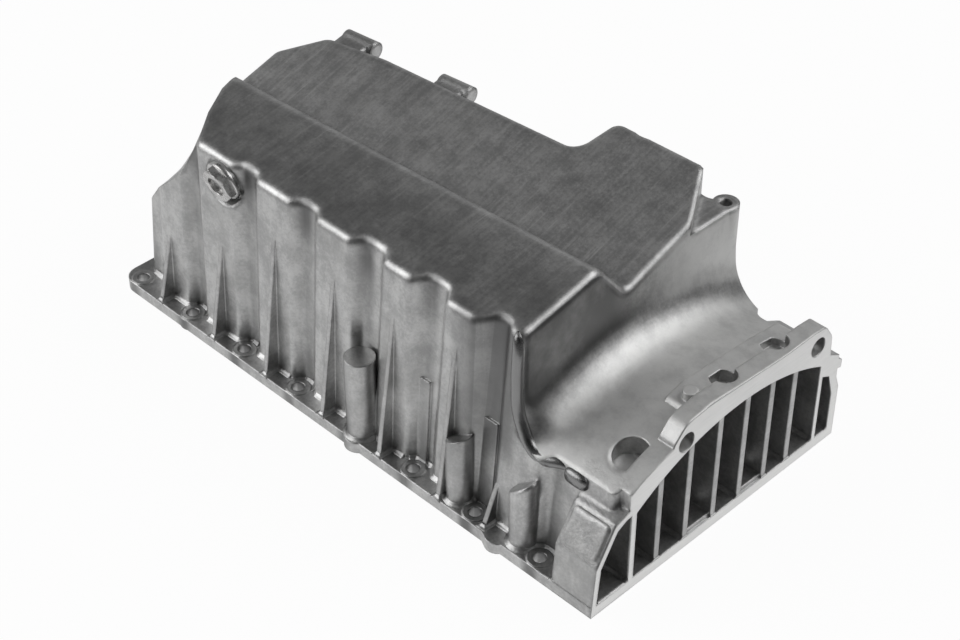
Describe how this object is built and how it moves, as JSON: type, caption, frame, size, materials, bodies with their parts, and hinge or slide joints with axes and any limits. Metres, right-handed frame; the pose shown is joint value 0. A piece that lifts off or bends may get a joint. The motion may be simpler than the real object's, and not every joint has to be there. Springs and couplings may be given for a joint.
{
  "type": "engine oil pan",
  "caption": "One-piece cast aluminium oil pan with a scalloped near wall, stepped floor, arched gearbox end with stiffening ribs, bolt flange and a hexagon drain plug.",
  "frame": {"origin": "centre of the bounding box, on the gasket face of the flange", "axes": "+X along the engine toward the gearbox end, -Y toward the scalloped wall with the drain plug, +Z from the gasket face to the floor of the pan, so the pan stands on its flange, upside down to the way it is fitted"},
  "size_m": [0.359, 0.1867, 0.1311],
  "materials": {
    "cast_aluminium": "matte as-cast",
    "seal_aluminium": "soft turned",
    "plug_steel": "zinc plated, dulled"
  },
  "bodies": {
    "pan": {"oil_pan": "cast_aluminium"},
    "washer": {"drain_washer": "seal_aluminium"},
    "plug": {"drain_plug": "plug_steel"}
  },
  "joints": [
    {"name": "washer_slide", "type": "slide", "parent": "pan", "child": "washer", "axis": [0, -0.9659, -0.2588], "range_m": [0, 0.018]},
    {"name": "plug_turn", "type": "hinge", "parent": "washer", "child": "plug", "pos_m": [-0.097, -0.07225, 0.1059], "axis": [0, -0.9659, -0.2588], "range_deg": [0, 4320]}
  ],
  "couplings": [
    {"joint": "plug_turn", "follows": "washer_slide", "rad_per_m": 4188.8}
  ]
}
